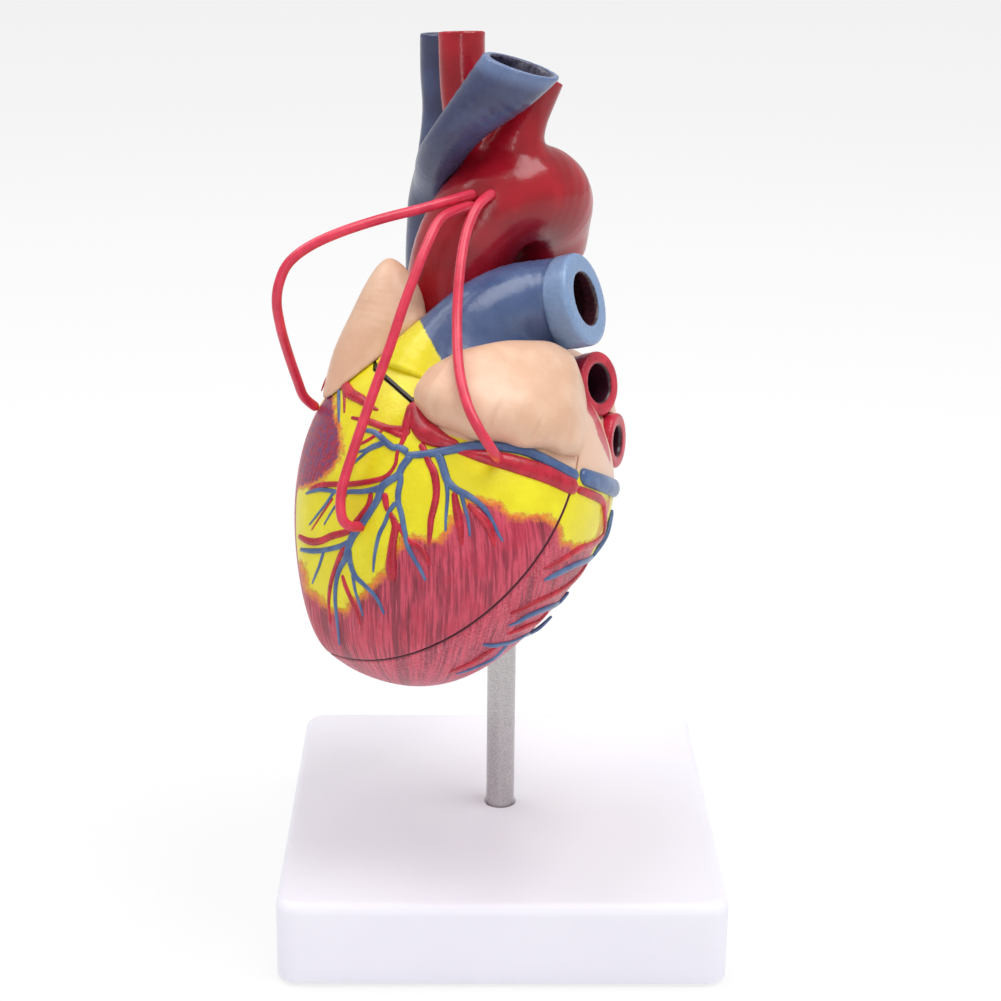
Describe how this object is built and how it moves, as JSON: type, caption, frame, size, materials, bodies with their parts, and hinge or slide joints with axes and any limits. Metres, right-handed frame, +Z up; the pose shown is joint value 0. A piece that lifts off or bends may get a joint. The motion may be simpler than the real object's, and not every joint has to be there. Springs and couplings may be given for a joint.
{
  "type": "human heart anatomy model",
  "caption": "Human heart anatomy model with bypass grafts and a lift-off front wall that uncovers chambers and valves, on a steel rod in a square base.",
  "frame": {"origin": "on the table under the middle of the base", "axes": "+Z up along the rod, +X to the right as the viewer sees the front, +Y away from the viewer"},
  "size_m": [0.12, 0.1224, 0.2398],
  "materials": {
    "plastic_white": "gloss",
    "foot_rubber": "matt",
    "rod_steel": "brushed",
    "muscle": "painted and varnished",
    "artery_red": "painted and varnished",
    "vein_blue": "painted and varnished",
    "atrium_peach": "painted and varnished",
    "leaflet": "satin",
    "cord_cream": "satin",
    "graft_pink": "painted and varnished"
  },
  "bodies": {
    "base": {"plinth": "plastic_white", "plinth_feet": "foot_rubber"},
    "rod": {"support_rod": "rod_steel"},
    "heart": {"rod_sleeve": "rod_steel", "back_wall": "muscle", "septum": "muscle", "valve_plate": "atrium_peach", "tricuspid_valve": "leaflet", "mitral_valve": "leaflet", "aortic_valve": "leaflet", "pulmonary_valve": "leaflet", "papillary_muscles": "muscle", "tendinous_cords": "cord_cream", "aorta": "artery_red", "pulmonary_trunk": "vein_blue", "superior_vena_cava": "vein_blue", "inferior_vena_cava": "vein_blue", "left_pulmonary_veins": "artery_red", "right_pulmonary_veins": "artery_red", "locating_pins": "rod_steel"},
    "front": {"front_wall": "muscle", "left_auricle": "atrium_peach", "right_auricle": "atrium_peach", "graft_right_coronary": "graft_pink", "graft_interventricular": "graft_pink", "graft_circumflex": "graft_pink"}
  },
  "joints": [
    {"name": "rod_swivel", "type": "hinge", "parent": "base", "child": "rod", "pos_m": [0, 0, 0], "axis": [0, 0, 1], "continuous": true},
    {"name": "heart_lift", "type": "slide", "parent": "rod", "child": "heart", "axis": [0, 0, 1], "range_m": [0, 0.03]},
    {"name": "front_lift", "type": "slide", "parent": "heart", "child": "front", "axis": [-0.5838, -0.3765, 0.7193], "range_m": [0, 0.06]}
  ]
}
